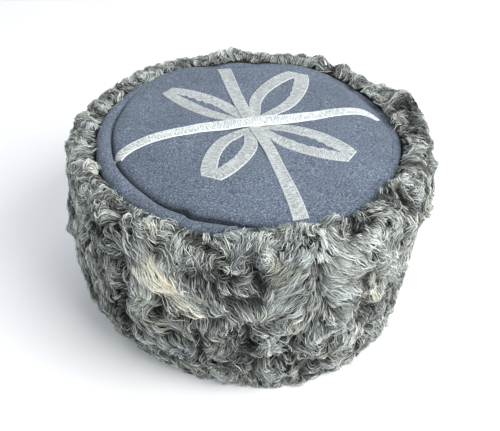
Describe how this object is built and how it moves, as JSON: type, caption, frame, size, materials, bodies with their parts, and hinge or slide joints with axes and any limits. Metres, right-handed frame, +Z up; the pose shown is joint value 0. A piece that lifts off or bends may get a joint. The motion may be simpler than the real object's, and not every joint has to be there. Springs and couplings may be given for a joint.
{
  "type": "karakul hat",
  "caption": "Brimless fur hat: a ring of curled karakul fur round a flat felt crown, with silver braid crossed and looped over the crown.",
  "frame": {"origin": "on the surface that the rim stands on, under the middle of the hat", "axes": "+Z up out of the crown, +Y towards the back of the hat, which is its long way, +X to the wearer's left"},
  "size_m": [0.2296, 0.2418, 0.1184],
  "materials": {
    "fur": "grey karakul fur in small curled locks, dark at the roots and silver at the tips",
    "felt": "blue-grey wool felt, heathered and matt",
    "braid": "flat woven braid of silver-grey thread with a soft shine"
  },
  "bodies": {
    "root": {"fur_band": "fur", "crown_cloth": "felt", "braid_across": "braid", "braid_front_back": "braid", "braid_loop_back_left": "braid", "braid_loop_back_right": "braid", "braid_loop_front_right": "braid", "braid_loop_front_left": "braid"}
  },
  "joints": []
}
